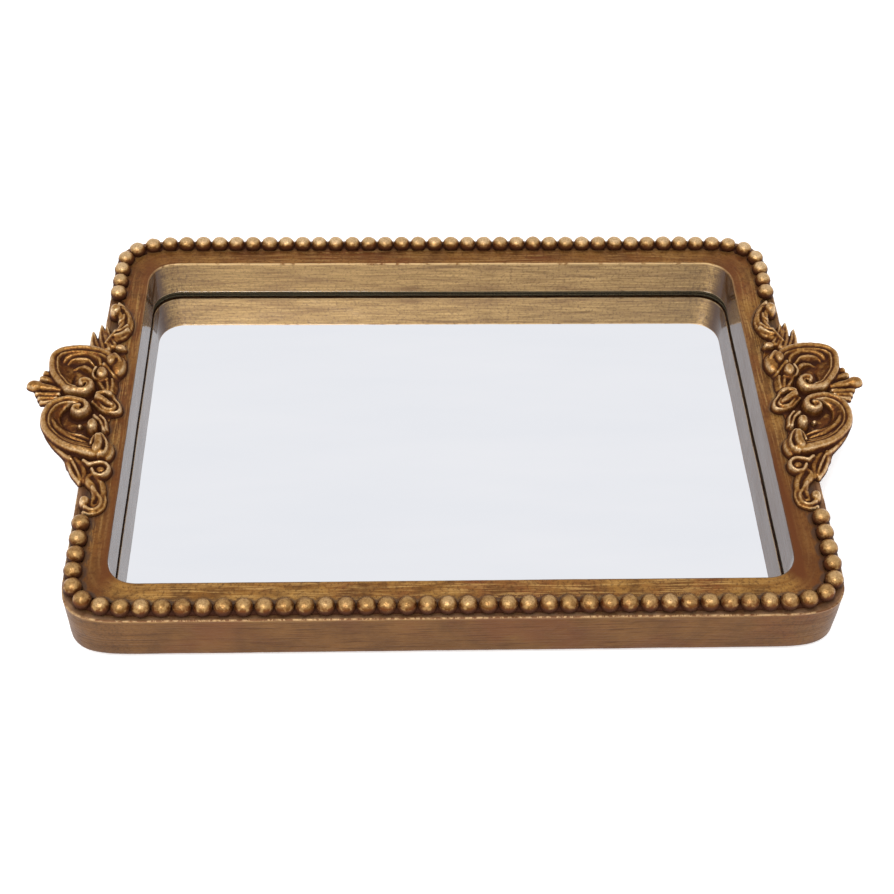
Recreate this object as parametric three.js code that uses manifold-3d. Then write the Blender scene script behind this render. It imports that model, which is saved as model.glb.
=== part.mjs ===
// Dresser vanity tray: a moulded frame with bead trim, a mirror floor and two cast scroll handles.
// Millimetres, +Z up. The origin is on the table, under the middle of the tray.
// +X points at the right handle and -Y at the front.

import * as THREE from 'three';
import { mergeVertices } from 'three/addons/utils/BufferGeometryUtils.js';
import Module from 'manifold-3d';

const wasm = await Module();
wasm.setup();

// ---------------------------------------------------------------- driving dimensions

const gap = 0.3; // left between pieces that touch

// Rounded rectangles: half sizes, how far the corner curve runs along each side, its power
// (2 is an ellipse, more is squarer), and how far its middle is from the tray's. The opening is a
// little off centre, so the right rail is the wider one.
const outerEdge = { x: 164.7, y: 117.2, cornerX: 37, cornerY: 27.7, power: 3.85, shift: 0 };
const beadLine = { x: 160.5, y: 112.2, cornerX: 30, cornerY: 20, power: 3, shift: 0 };
const opening = { x: 146.2, y: 98.6, cornerX: 14, cornerY: 14, power: 2.25, shift: -0.8 };
const cornerSteps = 7;

// Heights above the table.
const frameBase = 2;
const boardTop = 3.9;
const mirrorBottom = 4.2;
const mirrorTop = 6.2;
const lipUnderside = 8;
const channelFloor = 26.2;
const ledgeTop = 26.6;
const railTop = 27.7;
const beadCentre = 28.9;

// Frame rebates, measured outward from the opening.
const mirrorRebate = 4.5;
const boardRebate = 11;

// Bead trim.
const beadPitch = 8.4;
const beadRadius = 4;
const beadChannelHalf = 2.5;
const frontBeadsPerSide = 24;
const rearBeadsPerSide = 23;
const webHalf = 1.8;

// Screws: board screws sit in the step of the rebate, on a line measured outward from the
// opening. Handle screws stand above the board.
const screwLine = 7.8;
const boardScrew = { head: 2.4, headDepth: 1.2, shank: 1.1, length: 8.4 };
const handleScrew = { head: 2.4, headDepth: 1.4, shank: 1.3, length: 27 };
const handleScrewX = 154;
const handleScrewY = 27;
const handleScrewBase = 4.6;

const pad = { radius: 8, x: 132, y: 84 };

// ---------------------------------------------------------------- shape helpers

const grow = (outline, by) => ({
  x: outline.x + by,
  y: outline.y + by,
  cornerX: outline.cornerX + by,
  cornerY: outline.cornerY + by,
  power: outline.power,
  shift: outline.shift,
});

// One corner of a rounded rectangle, from the +X side round to the +Y side.
function cornerPoints(outline, steps) {
  const points = [];
  for (let i = 0; i <= steps; i++) {
    const angle = (i / steps) * (Math.PI / 2);
    points.push([
      outline.x - outline.cornerX + outline.cornerX * Math.cos(angle) ** (2 / outline.power),
      outline.y - outline.cornerY + outline.cornerY * Math.sin(angle) ** (2 / outline.power),
    ]);
  }
  return points;
}

// The whole rounded rectangle, anticlockwise from the +X side.
function outlinePoints(outline, steps = cornerSteps) {
  const corner = cornerPoints(outline, steps);
  const back = [...corner].reverse();
  const points = [
    ...corner,
    ...back.map(([x, y]) => [-x, y]),
    ...corner.map(([x, y]) => [-x, -y]),
    ...back.map(([x, y]) => [x, -y]),
  ];
  return points.map(([x, y]) => [x + outline.shift, y]);
}

function volume(positions, index) {
  const corner = (i) => new THREE.Vector3().fromArray(positions, index[i] * 3);
  let total = 0;
  for (let i = 0; i < index.length; i += 3) {
    total += corner(i).dot(corner(i + 1).cross(corner(i + 2))) / 6;
  }
  return total;
}

// A closed mesh from rows of points; its faces are turned to point out.
function solid(positions, index) {
  if (volume(positions, index) < 0) index.reverse();
  const geometry = new THREE.BufferGeometry();
  geometry.setAttribute('position', new THREE.Float32BufferAttribute(positions, 3));
  geometry.setIndex(index);
  return geometry;
}

// A ring round the tray: each step of the section is an outline at a height.
function ring(section) {
  const rows = section.map(([outline, z]) => outlinePoints(outline).map(([x, y]) => [x, y, z]));
  const count = rows[0].length;
  const index = [];
  for (let row = 0; row < rows.length; row++) {
    const next = (row + 1) % rows.length;
    for (let i = 0; i < count; i++) {
      const j = (i + 1) % count;
      index.push(row * count + i, row * count + j, next * count + j);
      index.push(row * count + i, next * count + j, next * count + i);
    }
  }
  return solid(rows.flat(2), index);
}

// A bar along a plan path. section(t) gives [sideways, z] points at t from 0 to 1.
function sweep(path, section) {
  const rows = path.map((point, i) => {
    const before = path[Math.max(i - 1, 0)];
    const after = path[Math.min(i + 1, path.length - 1)];
    const along = Math.hypot(after[0] - before[0], after[1] - before[1]);
    const side = [(after[1] - before[1]) / along, (before[0] - after[0]) / along];
    return section(i / (path.length - 1)).map(([out, z]) => [
      point[0] + side[0] * out,
      point[1] + side[1] * out,
      z,
    ]);
  });
  const count = rows[0].length;
  const index = [];
  for (let row = 0; row + 1 < rows.length; row++) {
    for (let i = 0; i < count; i++) {
      const j = (i + 1) % count;
      const a = row * count;
      const b = a + count;
      index.push(a + i, a + j, b + j, a + i, b + j, b + i);
    }
  }
  const last = (rows.length - 1) * count;
  for (let i = 1; i + 1 < count; i++) {
    index.push(0, i + 1, i, last, last + i, last + i + 1);
  }
  return solid(rows.flat(2), index);
}

function toSolid(geometry) {
  const bare = geometry.clone();
  bare.deleteAttribute('normal');
  bare.deleteAttribute('uv');
  const merged = mergeVertices(bare, 1e-4);
  const vertProperties = new Float32Array(merged.attributes.position.array);
  const triVerts = new Uint32Array(merged.index.array);
  return new wasm.Manifold(new wasm.Mesh({ numProp: 3, vertProperties, triVerts }));
}

function toGeometry(manifold) {
  const result = manifold.getMesh();
  const geometry = new THREE.BufferGeometry();
  geometry.setAttribute('position', new THREE.Float32BufferAttribute(result.vertProperties, 3));
  geometry.setIndex(Array.from(result.triVerts));
  return geometry;
}

const join = (solids) => solids.reduce((whole, piece) => whole.add(piece));
const cut = (body, tools) => tools.reduce((rest, tool) => rest.subtract(tool), body);

function mirrored(geometry) {
  const copy = geometry.clone().scale(-1, 1, 1);
  return solid(Array.from(copy.attributes.position.array), Array.from(copy.index.array));
}

// A turned piece standing on z = 0, from [radius, height] steps.
function turned(profile, sides) {
  const points = profile.map(([radius, height]) => new THREE.Vector2(radius, height));
  const geometry = new THREE.LatheGeometry(points, sides);
  return geometry.rotateX(Math.PI / 2);
}

// ---------------------------------------------------------------- materials

const finish = (color, roughness, metalness) =>
  new THREE.MeshStandardMaterial({ color, roughness, metalness });

const antiqueGold = finish(0x8a6535, 0.45, 0.6);
const beadGold = finish(0xa8824a, 0.35, 0.7);
const castGold = finish(0x8e6434, 0.4, 0.65);
const mirrorSilver = finish(0xe2e5ea, 0.03, 1);
const blackFoam = finish(0x15120f, 0.95, 0);
const hardboard = finish(0x5a3f28, 0.85, 0);
const zincSteel = finish(0xb9b7ae, 0.35, 0.9);
const brownFelt = finish(0x3a2c22, 1, 0);

const tray = new THREE.Group();

function place(name, geometry, material, x = 0, y = 0, z = 0) {
  const mesh = new THREE.Mesh(geometry, material);
  mesh.name = name;
  mesh.position.set(x, y, z);
  tray.add(mesh);
}

// ---------------------------------------------------------------- screws

// Countersunk wood screw, head down on z = 0 and point up. A positive clearance makes its hole.
function screwShape(size, clearance = 0) {
  const head = size.head + clearance;
  const shank = size.shank + clearance;
  const start = clearance > 0 ? -4 : 0;
  return turned(
    [
      [0, start],
      [head, start],
      [head, 0.3 + clearance],
      [shank, size.headDepth + clearance],
      [shank, size.length - 1.5],
      [0, size.length + clearance],
    ],
    10,
  );
}

const boardScrewPlaces = [];
const handleScrewPlaces = [];
for (const side of [-1, 1]) {
  for (const x of [-84, 0, 84]) boardScrewPlaces.push([x, side * (opening.y + screwLine)]);
  boardScrewPlaces.push([opening.shift + side * (opening.x + screwLine), 0]);
  for (const end of [-1, 1]) handleScrewPlaces.push([side * handleScrewX, end * handleScrewY]);
}

const holesFor = (places, size, z) =>
  places.map(([x, y]) => toSolid(screwShape(size, gap).translate(x, y, z)));
const boardScrewHoles = holesFor(boardScrewPlaces, boardScrew, frameBase);
const handleScrewHoles = holesFor(handleScrewPlaces, handleScrew, handleScrewBase);

// ---------------------------------------------------------------- frame

function buildFrame() {
  const body = ring([
    [outerEdge, frameBase],
    [outerEdge, ledgeTop - 0.6],
    [grow(outerEdge, -0.6), ledgeTop],
    [grow(beadLine, beadChannelHalf + 0.5), ledgeTop],
    [grow(beadLine, beadChannelHalf), channelFloor],
    [grow(beadLine, -beadChannelHalf), channelFloor],
    [grow(beadLine, -beadChannelHalf - 1), railTop],
    [grow(opening, 0.8), railTop],
    [opening, railTop - 0.7],
    [opening, lipUnderside],
    [grow(opening, mirrorRebate), lipUnderside],
    [grow(opening, mirrorRebate), boardTop + gap],
    [grow(opening, boardRebate), boardTop + gap],
    [grow(opening, boardRebate), frameBase],
  ]);
  return toGeometry(cut(toSolid(body), [...boardScrewHoles, ...handleScrewHoles]));
}

// ---------------------------------------------------------------- bead trim

// Plan path of the bead line in one quarter, from the middle of the long side to the short side.
function beadQuarter() {
  const corner = cornerPoints(beadLine, 24).reverse();
  return [[0, beadLine.y], ...corner, [beadLine.x, 0]];
}

function pointAlong(path, distance) {
  let left = distance;
  for (let i = 0; i + 1 < path.length; i++) {
    const [ax, ay] = path[i];
    const [bx, by] = path[i + 1];
    const step = Math.hypot(bx - ax, by - ay);
    if (left <= step) return [ax + ((bx - ax) * left) / step, ay + ((by - ay) * left) / step];
    left -= step;
  }
  return path[path.length - 1];
}

function buildBeadString(beadsPerSide, side) {
  const quarter = beadQuarter();
  const places = [];
  for (let i = -beadsPerSide; i < beadsPerSide; i++) {
    const [x, y] = pointAlong(quarter, Math.abs(i + 0.5) * beadPitch);
    places.push([Math.sign(i + 0.5) * x, side * y]);
  }
  const webTop = channelFloor + gap + 1.6;
  const web = sweep(places, () => [
    [-webHalf, channelFloor + gap],
    [webHalf, channelFloor + gap],
    [webHalf, webTop],
    [-webHalf, webTop],
  ]);
  const bead = turned(
    [
      [0, channelFloor + gap - beadCentre],
      [0.62 * beadRadius, channelFloor + gap - beadCentre],
      [beadRadius, 0],
      [0.74 * beadRadius, 0.67 * beadRadius],
      [0, beadRadius],
    ],
    8,
  );
  const beads = places.map(([x, y]) => toSolid(bead.clone().translate(x, y, beadCentre)));
  return toGeometry(join([toSolid(web), ...beads]));
}

// ---------------------------------------------------------------- handles

// Plan outline of the right handle's body: x outward from the tray's middle, y along the rail.
const handleOutline = [
  [153.5, 41], [151.8, 26], [154.5, 14], [152, 1], [156, -13], [152, -28], [154, -41],
  [160, -45], [165.5, -46], [169.5, -37], [178, -26], [184.5, -16], [186.5, -5], [191, 3],
  [194, 10], [189, 19], [187, 28], [183, 34.5], [172, 38], [167.5, 46], [163, 50], [160, 44],
];
const handleUnderside = 20.5;
const handleBodyTop = 30;

const plan = (points) => points.map(([x, y]) => new THREE.Vector2(x, y));
const curved = (points, steps) =>
  new THREE.SplineCurve(plan(points)).getPoints(steps).map((point) => [point.x, point.y]);

function closedCurve(points, steps) {
  const corners = points.map(([x, y]) => new THREE.Vector3(x, y, 0));
  const curve = new THREE.CatmullRomCurve3(corners, true);
  return curve.getPoints(steps).slice(0, steps).map((point) => [point.x, point.y]);
}

// A capped block whose plan outline is scaled about its middle at each height: [scale, z].
function stack(outline, layers) {
  const count = outline.length;
  const middle = [0, 1].map((axis) => outline.reduce((sum, at) => sum + at[axis], 0) / count);
  const rows = layers.map(([scale, z]) =>
    outline.map(([x, y]) => [
      middle[0] + (x - middle[0]) * scale,
      middle[1] + (y - middle[1]) * scale,
      z,
    ]),
  );
  const index = [];
  for (let row = 0; row + 1 < rows.length; row++) {
    for (let i = 0; i < count; i++) {
      const a = row * count + i;
      const b = row * count + ((i + 1) % count);
      index.push(a, b, b + count, a, b + count, a + count);
    }
  }
  const last = (rows.length - 1) * count;
  const clockwise = THREE.ShapeUtils.isClockWise(plan(outline));
  for (const [a, b, c] of THREE.ShapeUtils.triangulateShape(plan(outline), [])) {
    index.push(...(clockwise ? [a, b, c] : [a, c, b]));
    index.push(...(clockwise ? [last + a, last + c, last + b] : [last + a, last + b, last + c]));
  }
  return solid(rows.flat(2), index);
}

// A rounded rib whose half width and top height change along a curved path.
function rib(points, steps, halfWidth, top, bottom = railTop + gap) {
  return toSolid(
    sweep(curved(points, steps), (t) => {
      const half = THREE.MathUtils.lerp(halfWidth[0], halfWidth[1], t);
      const crest = THREE.MathUtils.lerp(top[0], top[1], t);
      return [
        [-half, bottom],
        [half, bottom],
        [half, bottom + (crest - bottom) * 0.6],
        [half * 0.5, crest],
        [-half * 0.5, crest],
        [-half, bottom + (crest - bottom) * 0.6],
      ];
    }),
  );
}

// An egg-shaped lobe.
function lobe([x, y], radiusX, radiusY, top, turn = 0) {
  const egg = new THREE.SphereGeometry(1, 10, 6).scale(radiusX, radiusY, 4);
  return toSolid(egg.rotateZ(turn).translate(x, y, top - 4));
}

function buildRightHandle() {
  const body = stack(closedCurve(handleOutline, 48), [
    [0.6, handleUnderside],
    [0.95, handleBodyTop - 1.8],
    [1, handleBodyTop - 1.1],
    [1, handleBodyTop - 0.6],
    [0.97, handleBodyTop],
  ]);
  const pieces = [
    toSolid(body),
    // upper scroll, from the knob at the rail over the top and back in to its eye
    rib([[157.5, 26], [160, 31], [170, 34], [181, 33], [184.7, 27], [182, 16], [176, 8.5],
      [168, 7], [165.8, 10.5], [168.5, 13.5]], 24, [1.8, 1.4], [34.7, 34.2]),
    rib([[163.5, 27], [168, 31], [176, 30.5], [180.5, 25]], 8, [1.2, 1.2], [33, 33]),
    // lower scroll, from its eye round the outside to the end lobe at the rail
    rib([[168.5, -6], [165.8, -3], [171, 1.2], [179, 0], [183.6, -7.5], [182, -16.5], [175, -24.5],
      [165, -29], [155.5, -31]], 24, [1.4, 1.9], [34.2, 34.7]),
    rib([[182, -6], [179, -13], [171, -20], [163, -22.5]], 8, [1.2, 1.2], [32.8, 32.8]),
    // tongue that hangs over the rail between the scrolls
    rib([[163, 2], [158, -3.2], [152.5, -4.5], [150.6, -2], [153, 3], [156, 6.5]], 12,
      [0.9, 0.9], [31.3, 31.3]),
    rib([[161.5, 3.5], [157.5, 0.5], [154.5, -1.5]], 5, [1.7, 1.1], [34.2, 33.2]),
    // curls lying on the rail at both ends
    rib([[159.2, 42.5], [154.5, 44.8], [151.9, 51], [153, 58], [157.5, 65]], 9, [1, 1], [30.4, 30.4]),
    rib([[159.2, 44.5], [155.5, 49], [154.6, 56], [159, 61.5]], 8, [2.4, 2.2], [31, 31.3]),
    rib([[160, -43.5], [155, -47], [151.5, -54], [152.5, -60], [157, -62.3], [160.2, -60]], 12,
      [0.9, 0.9], [29.7, 30.4]),
    rib([[160, -44.5], [157, -49], [157.4, -54], [160.5, -56.5]], 7, [1.8, 1.7], [29.9, 31]),
    // petals between the scrolls, pointing outward
    rib([[179, 14.5], [184, 17.6], [188.4, 19.4]], 5, [0.8, 1.2], [31.8, 31.8]),
    rib([[179, 12.5], [185, 15.4], [189.4, 16.8]], 5, [0.8, 1], [31.4, 31.4]),
    rib([[178, 7.6], [185, 9.2], [194.9, 10]], 6, [1, 2.3], [33.2, 33.8]),
    rib([[179, 6.8], [185, 6.4], [192, 6]], 5, [0.8, 1], [31.8, 31.8]),
    rib([[180, 4.6], [185, 3.4], [190.4, 1.8]], 5, [0.8, 1.2], [31.2, 30.8]),
    // tuft of leaves behind the upper scroll
    rib([[161.5, 37], [164.4, 45], [165.8, 54]], 6, [1.5, 0.5], [31.7, 30.7]),
    rib([[166, 37], [168.4, 43.5], [169.2, 49]], 5, [1.4, 0.5], [31.2, 30.2]),
    // leaf running down from the lower scroll, and its bud
    rib([[175, -24.5], [171, -31], [167, -38.5], [165.4, -45.5]], 8, [2.3, 0.6], [31, 28.8]),
    rib([[163, -34], [157, -37.2], [153.8, -41.5]], 6, [0.9, 0.9], [32, 31.6]),
    lobe([155.7, -39], 3.2, 3.5, 31.2),
    // knobs and lobes on the rail side
    lobe([155, 36.5], 2.6, 1.9, 32.2),
    lobe([154.8, 24.5], 3.6, 5.8, 32),
    lobe([157.6, 26], 2, 2.7, 35.6),
    lobe([161.2, 18], 2.1, 2.9, 35.2),
    lobe([156.4, 1.5], 5.3, 4.7, 30.8),
    lobe([161.7, -14.5], 1.8, 2.5, 35.2),
    lobe([154.4, -28], 3.7, 5.6, 32.8),
    lobe([157.6, -26.6], 1.9, 3.8, 36),
    // knobs at the tips of the end curls
    lobe([160.2, 62], 2.3, 3.3, 33.2),
    lobe([160.7, -56.5], 1.9, 2, 32.2),
  ];
  const restOnFrame = ring([
    [grow(outerEdge, gap), 0],
    [grow(outerEdge, gap), railTop + gap],
    [grow(opening, -4), railTop + gap],
    [grow(opening, -4), 0],
  ]);
  const handle = join(pieces).subtract(toSolid(restOnFrame));
  return toGeometry(cut(handle, handleScrewHoles));
}

// ---------------------------------------------------------------- mirror, board and feet

function sheet(outline, bottom, top) {
  const shape = new THREE.Shape(plan(outlinePoints(outline)));
  const geometry = new THREE.ExtrudeGeometry(shape, { depth: top - bottom, bevelEnabled: false });
  return toSolid(geometry.translate(0, 0, bottom));
}

function buildGasket() {
  return ring([
    [grow(opening, mirrorRebate - gap), mirrorTop + gap],
    [grow(opening, mirrorRebate - gap), lipUnderside - gap],
    [grow(opening, 1), lipUnderside - gap],
    [grow(opening, 1), mirrorTop + gap],
  ]);
}

// ---------------------------------------------------------------- assembly

const rightHandle = buildRightHandle();

place('frame_body', buildFrame(), antiqueGold);
place('front_bead_string', buildBeadString(frontBeadsPerSide, -1), beadGold);
place('rear_bead_string', buildBeadString(rearBeadsPerSide, 1), beadGold);
place('right_handle', rightHandle, castGold);
place('left_handle', mirrored(rightHandle), castGold);
place('mirror_gasket', buildGasket(), blackFoam);

const mirrorPlate = sheet(grow(opening, mirrorRebate - gap), mirrorBottom, mirrorTop);
place('mirror_plate', toGeometry(mirrorPlate), mirrorSilver);

const board = sheet(grow(opening, boardRebate - gap), frameBase, boardTop);
place('back_board', toGeometry(cut(board, boardScrewHoles)), hardboard);

boardScrewPlaces.forEach(([x, y], i) => {
  place(`board_screw_${i + 1}`, screwShape(boardScrew), zincSteel, x, y, frameBase);
});
handleScrewPlaces.forEach(([x, y], i) => {
  place(`handle_screw_${i + 1}`, screwShape(handleScrew), zincSteel, x, y, handleScrewBase);
});

const padShape = turned([[0, 0], [pad.radius, 0], [pad.radius, frameBase - gap], [0, frameBase - gap]], 20);
for (const [name, x, y] of [
  ['front_left', -1, -1], ['front_right', 1, -1], ['rear_left', -1, 1], ['rear_right', 1, 1],
]) {
  place(`${name}_pad`, padShape.clone(), brownFelt, x * pad.x, y * pad.y);
}

export default tray;
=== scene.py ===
"""Dresser vanity tray: gilt frame, bead trim, scroll handles and mirror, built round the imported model.

Lengths are millimetres until a mesh is made, which is in metres. +X is the right handle, -Y the front.
"""
import math
import random

import bpy
import numpy as np
from mathutils import Matrix, Vector, noise


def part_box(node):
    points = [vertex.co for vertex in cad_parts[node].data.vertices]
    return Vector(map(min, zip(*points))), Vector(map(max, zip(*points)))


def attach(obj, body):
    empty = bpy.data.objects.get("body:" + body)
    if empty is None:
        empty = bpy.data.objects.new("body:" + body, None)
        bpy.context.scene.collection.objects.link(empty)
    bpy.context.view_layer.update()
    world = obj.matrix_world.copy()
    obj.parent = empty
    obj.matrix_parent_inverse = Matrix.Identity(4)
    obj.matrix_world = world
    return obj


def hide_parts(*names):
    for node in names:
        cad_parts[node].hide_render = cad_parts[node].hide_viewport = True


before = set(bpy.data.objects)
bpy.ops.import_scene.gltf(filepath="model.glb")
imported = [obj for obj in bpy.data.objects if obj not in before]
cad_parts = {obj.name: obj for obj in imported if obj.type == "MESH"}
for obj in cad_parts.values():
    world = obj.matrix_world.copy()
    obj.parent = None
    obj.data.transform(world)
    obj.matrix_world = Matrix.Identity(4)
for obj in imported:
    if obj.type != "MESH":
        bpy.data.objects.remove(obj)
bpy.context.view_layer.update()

MM = 0.001


def box_mm(node):
    """Lowest and highest corners of a CAD node, in millimetres."""
    low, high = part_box(node)
    return np.array(low) / MM, np.array(high) / MM


# ---- sizes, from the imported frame

FRAME_LOW, FRAME_HIGH = box_mm("frame_body")
MIRROR_LOW, MIRROR_HIGH = box_mm("mirror_plate")
BOARD_TOP = box_mm("back_board")[1][2]
RAIL_TOP = FRAME_HIGH[2]
BASE = FRAME_LOW[2]
MIRROR_TOP = MIRROR_HIGH[2]
GASKET_TOP = box_mm("mirror_gasket")[1][2]
BEAD_TOP = box_mm("front_bead_string")[1][2]
BEAD_RADIUS = 4.0
BEAD_CENTRE = BEAD_TOP - BEAD_RADIUS
BEAD_PITCH = 8.4
LIP_UNDERSIDE = GASKET_TOP + 0.8
MIRROR_BEYOND_OPENING = 4.2
BEADS_IN_FROM_ENDS = 4.2
BEADS_IN_FROM_SIDES = 5.0

# Rounded rectangles: half sizes, reach of the corner curve along each side, its power, and how
# far its middle is off centre.
OUTER = dict(x=FRAME_HIGH[0], y=FRAME_HIGH[1], cx=37.0, cy=27.7, power=3.85, shift=0.0)
BEAD_LINE = dict(
    x=OUTER["x"] - BEADS_IN_FROM_ENDS,
    y=OUTER["y"] - BEADS_IN_FROM_SIDES,
    cx=30.0,
    cy=20.0,
    power=3.0,
    shift=0.0,
)
OPENING = dict(
    x=(MIRROR_HIGH[0] - MIRROR_LOW[0]) / 2 - MIRROR_BEYOND_OPENING,
    y=MIRROR_HIGH[1] - MIRROR_BEYOND_OPENING,
    cx=14.0,
    cy=14.0,
    power=2.25,
    shift=(MIRROR_HIGH[0] + MIRROR_LOW[0]) / 2,
)


def grown(outline, by):
    sizes = {key: outline[key] + by for key in ("x", "y", "cx", "cy")}
    return {**outline, **sizes}


# ---- mesh helpers

CORNER_STEPS = 40
HALF_LONG_STEPS = 180
HALF_SHORT_STEPS = 120


def corner_curve(outline, steps):
    """One corner, from the +X side round to the +Y side."""
    angle = np.linspace(0, math.pi / 2, steps + 1)
    x = outline["x"] - outline["cx"] * (1 - np.cos(angle).clip(0) ** (2 / outline["power"]))
    y = outline["y"] - outline["cy"] * (1 - np.sin(angle).clip(0) ** (2 / outline["power"]))
    return np.stack([x, y], 1)


def rounded_rectangle(outline):
    """The whole outline, anticlockwise from the middle of the +X side."""
    corner = corner_curve(outline, CORNER_STEPS)
    half_short = np.linspace([outline["x"], 0], corner[0], HALF_SHORT_STEPS + 1)[:-1]
    half_long = np.linspace(corner[-1], [0, outline["y"]], HALF_LONG_STEPS + 1)[1:-1]
    quarter = np.concatenate([half_short, corner, half_long])
    top = np.concatenate([quarter, [[0, outline["y"]]], quarter[::-1] * [-1, 1]])
    return np.concatenate([top, (top[::-1] * [1, -1])[1:-1]]) + [outline["shift"], 0]


def make_object(name, points, faces, slot, smooth_angle=40.0):
    """A mesh object from points in millimetres."""
    mesh = bpy.data.meshes.new(name)
    mesh.from_pydata((np.asarray(points) * MM).tolist(), [], faces)
    mesh.update()
    mesh.materials.append(materials[slot])
    mesh.shade_smooth()
    mesh.set_sharp_from_angle(angle=math.radians(smooth_angle))
    made = bpy.data.objects.new(name, mesh)
    bpy.context.scene.collection.objects.link(made)
    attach(made, "root")
    return made


def point_attribute(made, name, values):
    layer = made.data.attributes.new(name, "FLOAT", "POINT")
    layer.data.foreach_set("value", np.asarray(values, dtype=np.float32))


def grid_faces(rows, columns, closed_rows=False):
    """Quads over a grid of points whose columns close into a ring, and whose rows may."""
    faces = []
    for row in range(rows if closed_rows else rows - 1):
        below = ((row + 1) % rows) * columns
        for column in range(columns):
            beside = (column + 1) % columns
            start = row * columns
            faces.append((start + column, start + beside, below + beside, below + column))
    return faces


def spline(points, steps_per_span=8):
    """Catmull-Rom curve through points of any dimension."""
    points = np.asarray(points, float)
    padded = np.concatenate([[2 * points[0] - points[1]], points, [2 * points[-1] - points[-2]]])
    t = np.linspace(0, 1, steps_per_span, endpoint=False)[:, None]
    curve = []
    for before, start, end, after in zip(padded, padded[1:], padded[2:], padded[3:]):
        rise = (end - before) * t
        bend = (2 * before - 5 * start + 4 * end - after) * t**2
        swing = (3 * start - before - 3 * end + after) * t**3
        curve.append(0.5 * (2 * start + rise + bend + swing))
    return np.concatenate(curve + [points[-1:]])


def blurred(values, distance):
    """Gaussian blur of a height field."""
    sigma = distance / CELL
    reach = int(3 * sigma) + 1
    weights = np.exp(-0.5 * (np.arange(-reach, reach + 1) / sigma) ** 2)
    weights /= weights.sum()
    for axis in (0, 1):
        pad = [(reach, reach) if axis == side else (0, 0) for side in (0, 1)]
        wide = np.pad(values, pad, mode="edge")
        values = sum(
            weight * np.take(wide, range(i, i + values.shape[axis]), axis=axis)
            for i, weight in enumerate(weights)
        )
    return values


# ---- materials


def put(tree, socket, value):
    """Sets a socket, to a plain value or by a link from another socket."""
    if isinstance(value, bpy.types.NodeSocket):
        tree.links.new(value, socket)
    else:
        socket.default_value = value


def node(tree, kind, inputs=None, **settings):
    made = tree.nodes.new(kind)
    for key, value in settings.items():
        setattr(made, key, value)
    for key, value in (inputs or {}).items():
        put(tree, made.inputs[key], value)
    return made


def new_material(name):
    material = bpy.data.materials.new(name)
    material.use_nodes = True
    material.node_tree.nodes.clear()
    return material, material.node_tree


def surfaced(material, inputs):
    """Gives a material its shader, from values or sockets for the shader's inputs."""
    tree = material.node_tree
    shader = node(tree, "ShaderNodeBsdfPrincipled", inputs)
    node(tree, "ShaderNodeOutputMaterial", {"Surface": shader.outputs["BSDF"]})
    return material


def object_point(tree):
    return node(tree, "ShaderNodeTexCoord").outputs["Object"]


def attribute(tree, name, output="Fac"):
    return node(tree, "ShaderNodeAttribute", attribute_name=name).outputs[output]


def stretched(tree, vector, scale):
    return node(tree, "ShaderNodeMapping", {"Vector": vector, "Scale": scale}).outputs["Vector"]


def speckle(tree, vector, scale, detail=4.0, roughness=0.55):
    inputs = {"Vector": vector, "Scale": scale, "Detail": detail, "Roughness": roughness}
    return node(tree, "ShaderNodeTexNoise", inputs).outputs["Fac"]


# A socket's id_data is the node tree it is in.


def ranged(value, low, high, out_low=0.0, out_high=1.0):
    inputs = {"Value": value, "From Min": low, "From Max": high}
    inputs.update({"To Min": out_low, "To Max": out_high})
    return node(value.id_data, "ShaderNodeMapRange", inputs, clamp=True).outputs["Result"]


def times(first, second):
    inputs = {0: first, 1: second}
    return node(first.id_data, "ShaderNodeMath", inputs, operation="MULTIPLY").outputs[0]


def painted(colour, *layers):
    """Lays (share, colour) layers over a colour, one after another."""
    for share, over in layers:
        mix = node(share.id_data, "ShaderNodeMix", {0: share, 6: colour, 7: over}, data_type="RGBA")
        colour = mix.outputs[2]
    return colour


def bumped(*heights):
    """Stacks (height socket, depth in metres) pairs into one normal."""
    normal = None
    for height, depth in heights:
        inputs = {"Height": height, "Strength": 1.0, "Distance": depth}
        if normal is not None:
            inputs["Normal"] = normal
        normal = node(height.id_data, "ShaderNodeBump", inputs).outputs["Normal"]
    return normal


def srgb(red, green, blue):
    """A colour given as 0 to 255 screen values."""
    values = []
    for value in (red, green, blue):
        value /= 255
        values.append(value / 12.92 if value <= 0.04045 else ((value + 0.055) / 1.055) ** 2.4)
    return (*values, 1.0)


UMBER = srgb(40, 20, 7)
DARK_BROWN = srgb(84, 52, 26)
RED_CLAY = srgb(124, 70, 36)
BRONZE = srgb(140, 94, 42)
OLIVE_GOLD = srgb(170, 124, 62)
OLD_GOLD = srgb(200, 156, 92)
PALE_GOLD = srgb(228, 194, 140)


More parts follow.
